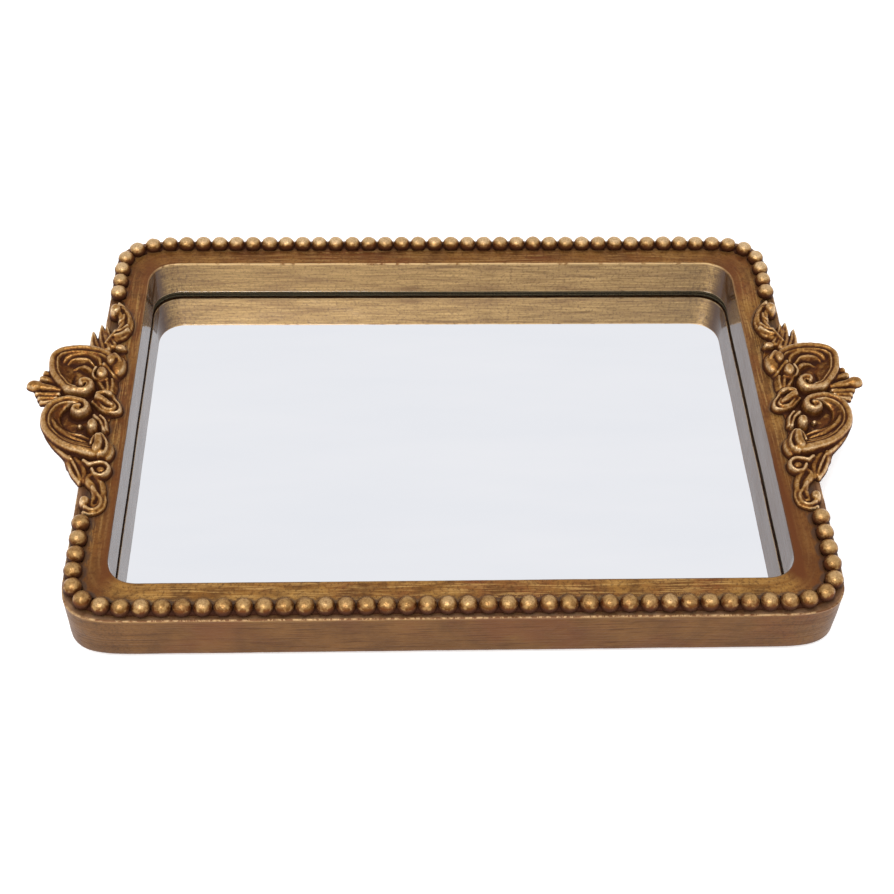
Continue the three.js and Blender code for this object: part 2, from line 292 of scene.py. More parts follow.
def gilt_frame_material():
    """Gold paint brushed along the frame over a brown base, with red-brown patches, rubbed edges
    and varnished inner walls, painted shade on the recess mark and painted highlights with the
    rubbed gold on the crest mark."""
    material, tree = new_material("antique_gold_frame")
    point = object_point(tree)
    flow = attribute(tree, "flow", "Vector")
    streaks = speckle(tree, stretched(tree, flow, (45, 1000, 1000)), 1.0, 5.0, 0.65)
    drags = speckle(tree, stretched(tree, flow, (30, 200, 200)), 1.0, 4.0, 0.6)
    crossed = speckle(tree, stretched(tree, flow, (600, 220, 220)), 1.0, 5.0, 0.7)
    patches = speckle(tree, point, 24.0, 6.0, 0.65)
    clouds = speckle(tree, point, 70.0, 5.0, 0.65)
    specks = speckle(tree, point, 300.0, 3.0, 0.6)
    grains = speckle(tree, point, 650.0, 4.0, 0.7)
    wall, face, ledge = (attribute(tree, name) for name in ("wall", "face", "ledge"))
    side, corner = attribute(tree, "side"), attribute(tree, "corner")
    crest, recess = attribute(tree, "crest"), attribute(tree, "recess")

    away_from_corners = ranged(corner, 0, 1, 1, 0.25)
    rail = painted(
        BRONZE,
        (ranged(drags, 0.40, 0.60), OLIVE_GOLD),
        (ranged(patches, 0.46, 0.62, 0.0, 0.85), RED_CLAY),
        (ranged(clouds, 0.48, 0.62, 0.0, 0.6), DARK_BROWN),
        (times(ranged(streaks, 0.50, 0.60, 0.0, 0.75), away_from_corners), OLD_GOLD),
        (ranged(grains, 0.50, 0.62, 0.0, 0.6), DARK_BROWN),
        (attribute(tree, "red"), srgb(108, 60, 28)),
    )
    outside = painted(
        srgb(96, 62, 26),
        (ranged(clouds, 0.35, 0.65), srgb(116, 78, 36)),
        (ranged(streaks, 0.52, 0.64, 0.0, 0.7), srgb(74, 42, 16)),
        (ranged(patches, 0.50, 0.64, 0.0, 0.45), srgb(106, 58, 28)),
        (times(corner, ranged(grains, 0.5, 0.62, 0.0, 0.35)), UMBER),
    )
    uneven = times(corner, ranged(crossed, 0.48, 0.64))
    inside = painted(
        srgb(130, 96, 44),
        (ranged(streaks, 0.34, 0.62), srgb(198, 160, 98)),
        (ranged(drags, 0.48, 0.66, 0.0, 0.5), srgb(112, 74, 32)),
        (ranged(grains, 0.50, 0.62, 0.0, 0.5), srgb(92, 62, 30)),
        (times(uneven, 0.75), srgb(84, 56, 26)),
        (side, srgb(88, 54, 20)),
    )
    edge = painted(srgb(166, 128, 96), (ranged(clouds, 0.4, 0.6), srgb(130, 90, 58)))
    chips = times(times(ledge, crest), ranged(crossed, 0.44, 0.54, 0.0, 2.4))
    unchipped = times(crest, ranged(chips, 0.1, 0.6, 1.0, 0.1))
    colour = painted(
        rail,
        (wall, inside),
        (face, outside),
        (ledge, edge),
        (chips, srgb(92, 44, 20)),
        # painted shade on the recess mark: under the mirror's lip, in the bead channel and round the
        # beads and handles, with some wax
        (times(recess, ranged(grains, 0.3, 0.6, 0.95, 0.7)), UMBER),
        # painted highlights along the frame's edges on the crest mark, with some rubbed gold
        (times(unchipped, ranged(specks, 0.30, 0.48)), PALE_GOLD),
    )
    # where the painted shade and wax lie, the paint is less metallic
    clear_of_wax_and_shade = ranged(recess, 0.1, 0.8, 1.0, 0.0)
    bare = times(ranged(wall, 0.0, 1.0, 0.75, 0.5), clear_of_wax_and_shade)
    inputs = {"Base Color": colour, "Metallic": bare, "Specular IOR Level": 0.3}
    inputs["Roughness"] = ranged(streaks, 0.3, 0.7, 0.40, 0.56)
    inputs["Coat Weight"] = ranged(wall, 0.0, 1.0, 0.04, 0.84)
    inputs["Coat Roughness"] = 0.08
    inputs["Normal"] = bumped((streaks, 0.00012), (clouds, 0.0004), (grains, 0.00008))
    return surfaced(material, inputs)


def gilt_relief_material(name, middle, light, grain_scale):
    """Gold paint on cast work: dark wax and painted shade in the recesses, rubbed gold and painted
    highlights on the ridges.
    """
    material, tree = new_material(name)
    point = object_point(tree)
    blotches = speckle(tree, point, grain_scale, 4.0, 0.6)
    fine = speckle(tree, point, grain_scale * 3.0, 3.0, 0.6)
    clouds = speckle(tree, point, grain_scale * 0.3, 3.0, 0.6)
    crest, recess = attribute(tree, "crest"), attribute(tree, "recess")

    # rubbed gold with painted highlights on the crest mark
    raised = times(ranged(crest, 0.05, 0.5), ranged(fine, 0.40, 0.58, 0.5, 1.0))
    rubbed_and_highlit = times(ranged(crest, 0.4, 0.95), ranged(fine, 0.36, 0.64, 0.35, 1.0))
    # painted shade with dark wax on the recess mark
    wax_and_shade = times(ranged(recess, 0.25, 0.9), ranged(fine, 0.3, 0.7, 1.0, 0.8))
    colour = painted(
        middle,
        (ranged(clouds, 0.42, 0.58), srgb(108, 62, 30)),
        (ranged(blotches, 0.48, 0.62, 0.0, 0.75), light),
        (raised, light),
        (rubbed_and_highlit, srgb(224, 192, 148)),
        (ranged(recess, 0.0, 0.45, 0.0, 0.9), srgb(82, 44, 18)),
        (wax_and_shade, srgb(54, 23, 6)),
    )
    inputs = {"Base Color": colour, "Specular IOR Level": 0.15}
    inputs["Roughness"] = ranged(recess, 0.0, 0.6, 0.36, 0.7)
    inputs["Metallic"] = ranged(recess, 0.0, 0.6, 0.85, 0.0)
    inputs["Normal"] = bumped((blotches, 0.0004), (fine, 0.00012))
    return surfaced(material, inputs)


def mirror_material():
    """Silvered mirror with a trace of wipe marks in its gloss."""
    material, tree = new_material("mirror_silver")
    wipes = speckle(tree, stretched(tree, object_point(tree), (6, 30, 6)), 1.0, 3.0, 0.6)
    tint = painted(srgb(238, 240, 244), (ranged(wipes, 0.3, 0.7), srgb(242, 243, 246)))
    gloss = ranged(wipes, 0.3, 0.7, 0.012, 0.022)
    return surfaced(material, {"Base Color": tint, "Metallic": 1.0, "Roughness": gloss})


def foam_material():
    """Black foam tape with open cells."""
    material, tree = new_material("black_foam")
    cells = node(tree, "ShaderNodeTexVoronoi", {"Vector": object_point(tree), "Scale": 1800.0})
    distance = cells.outputs["Distance"]
    colour = painted(srgb(34, 28, 14), (ranged(distance, 0.1, 0.7), srgb(76, 64, 36)))
    normal = bumped((distance, 0.0002))
    return surfaced(material, {"Base Color": colour, "Roughness": 0.9, "Normal": normal})


def hardboard_material():
    """Brown pressed fibre board, with short fibres in every direction and faint clouds."""
    material, tree = new_material("hardboard")
    point = object_point(tree)
    fibres = speckle(tree, stretched(tree, point, (260, 900, 300)), 1.0, 4.0, 0.7)
    crossing = speckle(tree, stretched(tree, point, (900, 240, 300)), 1.0, 4.0, 0.7)
    clouds = speckle(tree, point, 18.0, 3.0, 0.5)
    colour = painted(
        srgb(96, 68, 44),
        (ranged(fibres, 0.35, 0.65), srgb(126, 92, 60)),
        (ranged(crossing, 0.5, 0.7, 0.0, 0.5), srgb(150, 116, 80)),
        (ranged(clouds, 0.4, 0.7, 0.0, 0.35), srgb(84, 58, 38)),
    )
    normal = bumped((fibres, 0.0001), (crossing, 0.0001))
    return surfaced(material, {"Base Color": colour, "Roughness": 0.82, "Normal": normal})


def steel_material():
    """Bright zinc plate with fine turning marks."""
    material, tree = new_material("zinc_steel")
    marks = speckle(tree, stretched(tree, object_point(tree), (400, 400, 5000)), 1.0, 3.0, 0.6)
    colour = painted(srgb(176, 174, 164), (ranged(marks, 0.35, 0.65), srgb(206, 204, 196)))
    inputs = {"Base Color": colour, "Metallic": 1.0, "Normal": bumped((marks, 0.00003))}
    inputs["Roughness"] = ranged(marks, 0.3, 0.7, 0.24, 0.4)
    return surfaced(material, inputs)


def felt_material():
    """Dense brown felt."""
    material, tree = new_material("brown_felt")
    point = object_point(tree)
    fuzz = speckle(tree, point, 2600.0, 5.0, 0.75)
    clumps = speckle(tree, point, 500.0, 3.0, 0.6)
    colour = painted(
        srgb(48, 36, 28),
        (ranged(fuzz, 0.3, 0.7), srgb(92, 72, 56)),
        (ranged(clumps, 0.4, 0.7, 0.0, 0.4), srgb(40, 30, 24)),
    )
    normal = bumped((fuzz, 0.0004), (clumps, 0.0003))
    return surfaced(
        material, {"Base Color": colour, "Roughness": 1.0, "Sheen Weight": 0.4, "Normal": normal}
    )


# ---- frame

# On the frame, recess is painted shade with some wax, and crest is rubbed gold with painted highlights.
MARKS = ("wall", "face", "ledge", "crest", "recess")
CHANNEL_WALL = 3.3
POINTED_ROWS = (-3.25, -3.5)


def frame_section():
    """Section of the frame from its outer foot over the rail to the rebates underneath.

    Each step is an outline, a height, and how far it is each of the marks.
    """
    steps = []

    def step(outline, by, z, **marks):
        steps.append((grown(outline, by), z, [marks.get(name, 0.0) for name in MARKS]))

    def round_over(outline, centre, radius, z, start, end, count, **marks):
        """Arc of the section; centre is the distance out from the outline, angles are from outward."""
        for angle in np.radians(np.linspace(start, end, count)):
            step(outline, centre + radius * math.cos(angle), z + radius * math.sin(angle), **marks)

    ledge = BEAD_CENTRE - 2.3
    floor = BEAD_CENTRE - 2.7
    round_over(OUTER, -1.0, 1.0, BASE + 1.0, -90, 0, 5, face=1.0)
    for z in np.linspace(BASE + 3.5, ledge - 2.2, 6):
        step(OUTER, 0.0, z, face=1.0)
    step(OUTER, 0.0, ledge - 1.3, face=0.8)
    step(OUTER, 0.05, ledge - 0.8, face=0.2, recess=0.3)
    round_over(OUTER, -0.35, 0.4, ledge - 0.35, 0, 90, 6, crest=0.4, ledge=0.7)
    step(OUTER, -0.8, ledge + 0.05, ledge=0.9, recess=0.25)
    step(BEAD_LINE, 3.6, ledge, ledge=1.0)
    step(BEAD_LINE, 3.2, ledge - 0.1, ledge=0.8)
    # painted shadow: the bead channel darkens towards its floor
    step(BEAD_LINE, 2.6, floor + 0.15, ledge=0.6, recess=0.3)
    step(BEAD_LINE, 2.0, floor, recess=0.7)
    step(BEAD_LINE, 0.0, floor, recess=1.0)
    step(BEAD_LINE, -2.6, floor, recess=1.0)
    step(BEAD_LINE, -3.25, floor + 0.5, recess=1.0)
    step(BEAD_LINE, -CHANNEL_WALL, RAIL_TOP - 0.5, recess=0.8)
    round_over(BEAD_LINE, -3.7, 0.4, RAIL_TOP - 0.4, 0, 90, 4, recess=0.25)
    for by in (-4.75, -5.1, -5.6):
        step(BEAD_LINE, by, RAIL_TOP)
    for by in (9.0, 8.0, 7.0, 6.0, 5.0, 4.0, 3.0, 2.0, 1.1, 0.7):
        step(OPENING, by, RAIL_TOP)
    round_over(OPENING, 0.4, -0.4, RAIL_TOP - 0.4, -90, 0, 6, crest=0.9)
    step(OPENING, 0.0, RAIL_TOP - 1.1, wall=1.0)
    for z in np.linspace(RAIL_TOP - 3.5, LIP_UNDERSIDE + 2.2, 7):
        step(OPENING, 0.0, z, wall=1.0)
    step(OPENING, 0.0, LIP_UNDERSIDE + 1.0, wall=1.0)
    # at the wall's foot a painted dark line and a painted highlight line, then painted shade under the
    # lip and in the rebates, as in the gap over the mirror
    step(OPENING, 0.0, LIP_UNDERSIDE + 0.6, wall=0.9, recess=0.35)
    step(OPENING, 0.0, LIP_UNDERSIDE + 0.3, wall=0.9, crest=0.6)
    step(OPENING, 0.08, LIP_UNDERSIDE + 0.08, wall=0.5, crest=0.6)
    step(OPENING, 0.3, LIP_UNDERSIDE, recess=1.0)
    mirror_rebate, board_rebate = 4.5, 11.0
    step(OPENING, mirror_rebate, LIP_UNDERSIDE, recess=1.0)
    step(OPENING, mirror_rebate, BOARD_TOP + 0.3, recess=1.0)
    step(OPENING, board_rebate, BOARD_TOP + 0.3, recess=1.0)
    step(OPENING, board_rebate, BASE + 0.4, recess=0.6)
    step(OPENING, board_rebate + 0.4, BASE, recess=0.4)
    return steps


def ramp(values, low, high):
    """0 below low and 1 above high, with a straight rise between."""
    return ((values - low) / (high - low)).clip(0, 1)


def build_frame(bead_centres, reliefs):
    steps = frame_section()
    rows = [rounded_rectangle(outline) for outline, *_ in steps]
    columns = len(rows[0])
    points = np.zeros((len(steps), columns, 3))
    for i, ((_, z, _), row) in enumerate(zip(steps, rows)):
        points[i, :, :2] = row
        points[i, :, 2] = z
    values = np.array([marks for *_, marks in steps])
    marks = {name: np.repeat(values[:, [k]], columns, 1) for k, name in enumerate(MARKS)}

    # Thin points of the channel's inner wall reach in between the beads, on two rows of the
    # section only: its other rows are straight, and so is all of it where the handles stand.
    cut_radius, least_cut = 4.1, 1.4
    line = rounded_rectangle(BEAD_LINE)
    past = np.min([np.hypot(*(line - bead).T) for bead in bead_centres], 0)
    cut = np.sqrt((cut_radius**2 - past**2).clip(least_cut**2))
    cut += (CHANNEL_WALL - cut) * ramp(past, 4.3, 5.0)
    for i, (outline, *_) in enumerate(steps):
        by = outline["x"] - BEAD_LINE["x"]
        pointed = any(abs(by - row) < 0.01 for row in POINTED_ROWS)
        if pointed and outline["power"] == BEAD_LINE["power"]:
            inward = (points[i, :, :2] - line) / -by
            points[i, :, :2] = line + inward * (cut - CHANNEL_WALL - by)[:, None]
    x, y, z = points[:, :, 0] - OPENING["shift"], points[:, :, 1], points[:, :, 2]

    line = rounded_rectangle(OPENING)
    along = np.roll(line, -1, 0) - np.roll(line, 1, 0)
    sideways = np.abs(along[:, 1]) / np.linalg.norm(along, axis=1)
    marks["side"] = np.repeat(ramp(sideways, 0.45, 0.8)[None], len(steps), 0)

    # the painted highlight along the opening's edge, with some rubbed gold, fades out towards the front
    # and on the sides, where the edge has painted shade instead
    rim = (np.abs(x) < OPENING["x"] + 2) & (np.abs(y) < OPENING["y"] + 2) & (z > MIRROR_TOP + 12)
    rim &= marks["crest"] > 0
    front = y < -OPENING["y"] + 3
    shown = (0.08 + 0.8 * ramp(y, -40, 95) ** 2) * (1 - 0.65 * marks["side"])
    marks["crest"] = np.where(rim, marks["crest"] * shown, marks["crest"])
    edging = np.where(front, 0.75, 0.25 * (1 - ramp(y, -40, 80)))
    marks["recess"] = np.where(rim, edging, marks["recess"])

    # wax and painted shadow round each bead, and painted shadow round each handle's foot on the rail
    nearest = np.full(x.shape, 1e9)
    for bead in bead_centres:
        nearest = np.minimum(nearest, np.hypot(points[:, :, 0] - bead[0], y - bead[1]))
    on_rail = np.abs(z - RAIL_TOP) < 0.5
    reach = 0.8 + 1.3 * ramp(-y, -20, 60) * on_rail
    halo = (1 - ramp(nearest - BEAD_RADIUS, reach - 0.7, reach)) * (z > BEAD_CENTRE - 3)
    for side, relief in reliefs.items():
        column = ((side * points[:, :, 0] - OUTER["x"] - U_RANGE[0]) / CELL).astype(int)
        row = ((y - V_RANGE[0]) / CELL).astype(int)
        rows_high, columns_high = relief.covered.shape
        within = on_rail & (column >= 0) & (column < columns_high) & (row >= 0) & (row < rows_high)
        covered = relief.covered[row.clip(0, rows_high - 1), column.clip(0, columns_high - 1)]
        halo = np.maximum(halo, ramp(covered, 0.03, 0.3) * within)
    marks["recess"] = np.maximum(marks["recess"], 0.9 * halo)

    marks["corner"] = ramp(np.abs(x), OPENING["x"] - 30, OPENING["x"] - 6) * ramp(np.abs(y), 60, 95)
    by_opening = ramp(OPENING["x"] + 4.5 - np.abs(x), 0, 3.5)
    at_front = ramp(-y, -10, 60) * np.where(x > 0, 0.7, 0.4)
    reddened = marks["side"] * (at_front + 0.5 * by_opening)
    marks["red"] = reddened + 0.35 * ramp(y, 20, OPENING["y"]) ** 3

    # hand-finished surfaces are never quite flat
    for i in range(len(steps)):
        for j in range(columns):
            at = Vector(points[i, j])
            wave = noise.noise(Vector((at.x * 0.045, at.y * 0.045, at.z * 0.09)))
            ripple = noise.noise(Vector((at.x * 0.25, at.y * 0.25, at.z * 0.25 + 40)))
            points[i, j, :2] *= 1 + (0.16 * wave + 0.05 * ripple) / 160
            points[i, j, 2] += 0.1 * ripple * (RAIL_TOP - 3 < at.z)
            if values[i, MARKS.index("ledge")] * values[i, MARKS.index("crest")]:
                points[i, j, 2] += 0.16 * noise.noise(at * 0.7)

    faces = [face[::-1] for face in grid_faces(len(steps), columns, closed_rows=True)]
    made = make_object("frame_skin", points.reshape(-1, 3), faces, slot="antique_gold_frame")
    for name, amount in marks.items():
        point_attribute(made, name, amount.ravel())

    # brush direction: x runs round the frame and y across its section, in metres
    lengths = np.linalg.norm(np.roll(line, -1, 0) - line, axis=1)
    along = np.concatenate([[0], np.cumsum(lengths)])
    section = points[:, 0, [0, 2]]
    across = np.concatenate([[0], np.cumsum(np.linalg.norm(np.diff(section, axis=0), axis=1))])
    across = np.append(across, across[-1] + 10.0)
    flow = []
    for i in range(len(steps)):
        for j in range(columns):
            ends = ((j, i + 1), (j + 1, i + 1), (j + 1, i), (j, i))
            flow += [(along[a] * MM, across[b] * MM, 0) for a, b in ends]
    layer = made.data.attributes.new("flow", "FLOAT_VECTOR", "CORNER")
    layer.data.foreach_set("vector", np.array(flow, np.float32).ravel())
    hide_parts("frame_body")


# ---- bead trim


def bead_places(beads_per_side, side):
    """Bead centres along the bead line, from one handle round a long side to the other."""
    corner = corner_curve(BEAD_LINE, 48)[::-1]
    quarter = np.concatenate([[[0, BEAD_LINE["y"]]], corner, [[BEAD_LINE["x"], 0]]])
    lengths = np.linalg.norm(np.diff(quarter, axis=0), axis=1)
    along = np.concatenate([[0], np.cumsum(lengths)])
    places = []
    for i in range(-beads_per_side, beads_per_side):
        distance = abs(i + 0.5) * BEAD_PITCH
        x = np.interp(distance, along, quarter[:, 0]) * (1 if i >= 0 else -1)
        places.append((x, side * np.interp(distance, along, quarter[:, 1])))
    return places


def build_beads(name, replaced, places, seed, wear_and_highlight):
    """Beads that almost touch, each a little different, on a web that joins them in the channel; their
    lower halves and the web have painted shade, their tops a painted highlight.
    """
    draw = random.Random(seed)
    rings, sides = 18, 28
    polar = np.linspace(0, math.pi, rings + 1)[1:-1]
    turn = np.linspace(0, 2 * math.pi, sides, endpoint=False)
    unit = [
        (math.sin(tilt) * math.cos(around), math.sin(tilt) * math.sin(around), math.cos(tilt))
        for tilt in polar
        for around in turn
    ]
    top, bottom, lowest = len(unit), len(unit) + 1, len(unit) - sides
    unit += [(0, 0, 1), (0, 0, -1)]
    ball = [face[::-1] for face in grid_faces(rings - 1, sides)]
    for side in range(sides):
        beside = (side + 1) % sides
        ball += [(top, side, beside), (bottom, lowest + beside, lowest + side)]
    path = np.array(places)
    tangent = np.gradient(path, axis=0)
    tangent /= np.linalg.norm(tangent, axis=1)[:, None]
    out = np.stack([tangent[:, 1], -tangent[:, 0]], 1)
    points, faces, recess, crest = [], [], [], []
    for centre, forward, outward in zip(path, tangent, out):
        long, wide, high = (draw.uniform(*span) for span in ((1.0, 1.04), (0.96, 1.0), (0.95, 0.985)))
        shift = Vector([draw.uniform(-50, 50) for _ in range(3)])
        rubbed_and_highlit = draw.uniform(*wear_and_highlight)
        start = len(points)
        for a, b, c in unit:
            at = Vector((a, b, c))
            dent = noise.noise(at * 2.0 + shift) * 0.035 + noise.noise(at * 6.0 + shift) * 0.014
            size = BEAD_RADIUS * (1 + dent)
            offset = (forward * a * long + outward * b * wide) * size
            points.append((*(centre + offset), BEAD_CENTRE + c * high * size))
            # painted shade down the lower half and a painted highlight on top, with some wear, its
            # strength drawn for each bead
            recess.append(1 - min(max((c + 0.05) / 0.55, 0), 1))
            crest.append(rubbed_and_highlit * min(max((c - 0.45) / 0.4, 0), 1))
        faces += [tuple(start + i for i in face) for face in ball]
    start = len(points)
    for centre, outward in zip(path, out):
        for by, z in ((-2.4, -2.65), (2.4, -2.65), (2.0, -1.2), (0.0, -0.5), (-2.4, -1.2)):
            points.append((*(centre + outward * by), BEAD_CENTRE + z))
            # the web is painted dark as the shade between the beads
            recess.append(0.9)
            crest.append(0.0)
    web = grid_faces(len(path), 5)
    web += [(4, 3, 2, 1, 0), tuple((len(path) - 1) * 5 + i for i in range(5))]
    faces += [tuple(start + i for i in face) for face in web]
    made = make_object(name, points, faces, slot="bead_gold", smooth_angle=60)
    point_attribute(made, "recess", recess)
    point_attribute(made, "crest", crest)
    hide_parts(replaced)


# ---- handles

# On a handle, u is outward from the frame's side face, v along the rail towards the rear, and
# heights are above the rail's top. A ridge is (points, heights, half widths), with its heights and
# half widths spread evenly along it. CELL is the spacing of the height field.

CELL = 0.25
U_RANGE = (-16.0, 33.0)
V_RANGE = (-68.0, 72.0)
UNDERSIDE = -7.0

# Scrolls with a rounded outer side and a stepped inner side.
BANDS = {
    "upper rim": ([(-7.5, 26), (-5, 30), (-0.5, 32.5), (5.5, 34), (11.5, 34), (17, 32.5), (20, 29),
        (20, 24), (18.5, 18), (15, 12.5), (11.5, 8.5), (7, 7), (3, 7), (1, 9), (1, 12), (3.5, 13.5),
        (5.5, 12.5), (5, 10.5)], 7, [1.4, 1.6, 1.5, 1.3, 0.9]),
    "lower rim": ([(4, -3), (6, -3.5), (6.5, -5.5), (4, -7), (1.5, -5.5), (1, -3), (2.5, -0.5),
        (6.5, 1), (10.5, 1.5), (14.5, 0), (17.5, -3), (19, -7), (19, -11.5), (17.5, -16.5),
        (14.5, -20.5), (10.5, -24.5), (5.5, -27.5), (0.5, -29), (-4.5, -30.5), (-9, -31)],
        7, [0.9, 1.3, 1.5, 1.5, 1.6]),
}
# Round ridges with steep sides.
ROUND_RIDGES = {
    "rear curl edge": ([(-5.5, 42.5), (-10, 44.5), (-12.5, 49), (-13, 54), (-11.5, 59), (-9, 64),
        (-5.5, 68)], 2.5, 0.8),
    "rear curl volute": ([(-9, 58.5), (-9, 56), (-7.5, 54.5)], 4, 0.7),
    "rear curl fold 1": ([(-6, 44), (-9, 45.5), (-12, 48.5)], 4.5, 0.7),
    "rear curl fold 2": ([(-6, 47), (-9, 48), (-11.5, 51)], 4.5, 0.7),
    "tuft stem": ([(-2.5, 39), (-4.5, 43.5), (-6, 46.5)], 4.5, 0.6),
    "upper fold 1": ([(-6, 26), (-8, 23.5), (-10.5, 20.5)], [6.6, 4.2], [1.4, 0.7]),
    "upper fold 2": ([(-8, 29.5), (-10.5, 26.5), (-12.5, 23)], [6.4, 6.6, 4], [1.4, 0.7]),
    "upper hook": ([(0, 23), (1, 19.5), (-0.5, 16), (-3.5, 14.5), (-6, 15.5)], 4.5, 0.7),
    "petal 1": ([(14.5, 15.5), (19, 18.2), (22.6, 19.4)], 4.6, 1.5),
    "petal 2": ([(15.5, 12.6), (20, 15), (23.8, 16.3)], 4.6, 1.5),
    "petal 3": ([(15, 8.5), (20, 9.4), (25, 10.2)], [5, 6.4], [1.2, 2.2]),
    "petal 4": ([(15, 6), (20, 5.9), (25, 6.4)], 4.6, 1),
    "petal 5": ([(16, 4.2), (20.5, 3.9), (23.6, 4.2)], 4, 0.9),
    "petal 6": ([(17.5, 2.8), (20.5, 2.2), (22.5, 2.2)], 3.4, 0.9),
    "lower knob": ([(-7, -23), (-7.5, -26.5), (-7, -29.5)], 8.8, [1.6, 2.2]),
    "lower hook": ([(-4, -26), (-5, -22), (-7.5, -20.5), (-9.5, -23), (-11, -27), (-10.5, -30.5),
        (-8, -32)], 6.5, 0.8),
    "lower fold 1": ([(-3, -7.5), (-6, -11), (-8, -16)], 4.5, 0.8),
    "lower fold 2": ([(-5.5, -7), (-8, -10.5), (-9, -15)], 4, 0.7),
    "tongue edge": ([(-1, 2), (-5.5, -3), (-9.5, -4.5), (-12.5, -4.5), (-13.7, -3), (-13, 0),
        (-10.5, 3.5), (-9.5, 6)], 3.5, 0.8),
    "tongue inner": ([(-3, 2), (-6.5, -2.5), (-10, -3.5), (-11.5, -2), (-10, 0.5)], 4.5, 0.8),
    "tongue body": ([(-3.5, 3), (-6, 1.5), (-8.5, -0.5), (-10, -1.5)], [6.5, 5.5], [1.7, 1.0]),
    "tongue top": ([(-3, 5.5), (-6, 6.5), (-8.5, 5.5)], 5.5, 1.2),
    "leaf edge": ([(9, -26), (6, -31), (4.8, -35.5), (3, -40), (-0.5, -44.5)], [3.8, 1.8], 0.8),
    "leaf vein": ([(5, -31.5), (2.4, -36), (0.4, -40), (-1, -43.5)], [4.2, 2], 0.7),
    "leaf side": ([(2.5, -32), (-0.5, -35.5), (-2, -39.5), (-2.5, -43.5)], [3.2, 1.8], 1.4),
    "under rim": ([(19, -15.5), (16.4, -21), (12.6, -25.8), (8.6, -29.6), (4.5, -33)], 4.2, 0.9),
    "bud stem": ([(-1.5, -34), (-4, -35.8), (-7, -35.2), (-10.2, -35.2), (-12.6, -37.4), (-12.4, -40.6),
        (-10, -42.4), (-7.2, -41.4), (-5.6, -38.6)], [4.2, 4.2, 4], 0.8),
    "front curl edge": ([(-5.5, -43.5), (-9.5, -46.5), (-12, -51), (-13.2, -56), (-12, -60.5),
        (-8, -62.5), (-4.5, -61.5)], 1.8, 0.75),
    "front curl inner": ([(-7, -48), (-9, -51.5), (-11.5, -55.5), (-11, -59.5), (-8, -61), (-5, -59)],
        3, 0.8),
}
# Folds with gentle sides.
SOFT_RIDGES = {
    "upper step 1": ([(-2, 25), (-1, 28), (1.5, 30), (5, 31.5), (10, 31), (13.5, 29.5), (15.5, 27),
        (16, 25)], [4.5, 5.5, 5.6, 5.2, 2.5], [0.8, 1.4, 1.4, 0.6]),
    "upper step 2": ([(1, 25), (4, 28), (8, 28.5), (12, 28), (14.5, 25)],
        [2.5, 4.6, 4.4, 1.8], [0.5, 0.9, 0.5]),
    "upper step 3": ([(1, 17.5), (2, 21), (4.5, 23.5), (8, 24.5), (11.5, 23.5)],
        [3.4, 3.8, 1.2], [0.8, 1.2, 0.5]),
    "upper fold 3": ([(-4, 23.5), (-6.5, 20.5), (-8.5, 18.5)], [6, 4], [1.2, 0.7]),
    "neck 1": ([(-1, 16.5), (-3.5, 12), (-5.5, 8.5)], 4, 1),
    "neck 2": ([(-5.5, 16), (-6.5, 12), (-7, 9)], 4, 0.8),
    "neck 3": ([(-8, 16), (-8.5, 12.5), (-8.5, 9)], 3.5, 0.8),
    "lower step 1": ([(17.5, -4.5), (16, -9.5), (13, -15), (8.5, -19), (4.5, -21), (-0.5, -22)],
        [2.5, 5, 5.2, 4.6, 2.5], [0.6, 1.3, 1.3, 0.6]),
    "lower step 2": ([(14.5, -12.5), (10.5, -16), (6.5, -18.5), (2, -19), (-1.5, -19.5)],
        [2.5, 4.4, 4.2, 2], [0.5, 0.9, 0.5]),
    "lower step 3": ([(18.5, -10.5), (16, -16), (11, -20), (6, -23.5), (1, -25), (-2.5, -25.5)],
        [4, 5.2, 4.6], 0.7),
}
# Leaves with a groove down the middle.
LEAVES = {
    "rear curl body": ([(-5, 43), (-8.5, 48), (-10.3, 53), (-9.5, 58), (-7.5, 62)], 3.8, 3.0),
    "tuft tall": ([(-3, 36), (-1, 42), (0.2, 47), (1, 52)], [4.5, 3], [2.4, 2.0, 0.5]),
    "tuft outer": ([(1.5, 36), (3, 40), (3.9, 44), (4.6, 48)], [4, 2.5], [2.4, 1.8, 0.5]),
    "tuft inner": ([(-6, 38), (-3.6, 43), (-2.2, 47), (-1.6, 51)], [4.2, 3], [2.0, 1.5, 0.5]),
    "leaf body": ([(9.5, -26), (5.4, -31), (3, -35.5), (1.4, -39.5), (-0.5, -44)],
        [3.5, 1.6], [2.6, 3.2, 0.8]),
    "front curl body": ([(-6, -43), (-8.8, -47), (-10, -52), (-9, -57)], [3.2, 2.6], [3.6, 3.0]),
}

# Domes: (centre, radii, top), some with a turn in degrees.
LOBES = {
    "rear curl knob": ((-4.7, 62.2), (2.5, 2.9), 6),
    "petal tip": ((26.2, 10.2), (3.9, 3.1), 7.3),
    "petal root": ((18.5, 9), (7, 8.5), 3.6),
    "bud ring": ((-9.4, -38.8), (2.4, 1.9), 3.6, 25),
    "upper knob": ((-7, 26), (2.2, 2.9), 8),
    "upper bud": ((-9.5, 36.5), (2.5, 1.7), 4.5),
    "upper lobe": ((-10, 24.5), (3.7, 6), 5.7),
    "upper pearl": ((-3.5, 18), (2.4, 3.2), 7.8),
    "lower lobe": ((-10.5, -28), (3.6, 5.5), 5),
    "lower pearl": ((-3, -14.5), (2.1, 2.9), 7.8),
    "lower seed": ((3, -13), (1.1, 1.1), 3.5),
    "tongue base": ((-8.5, 1.5), (5.2, 4.6), 3),
    "bud": ((-9, -39), (3.6, 3.6), 2.6),
    "tuft root": ((-0.5, 40), (4.4, 6.5), 2.8),
    "leaf root": ((3.5, -33), (5.5, 7), 2.4, -25),
    "front curl knob": ((-4.6, -56.5), (2.1, 2.3), 4.8),
}

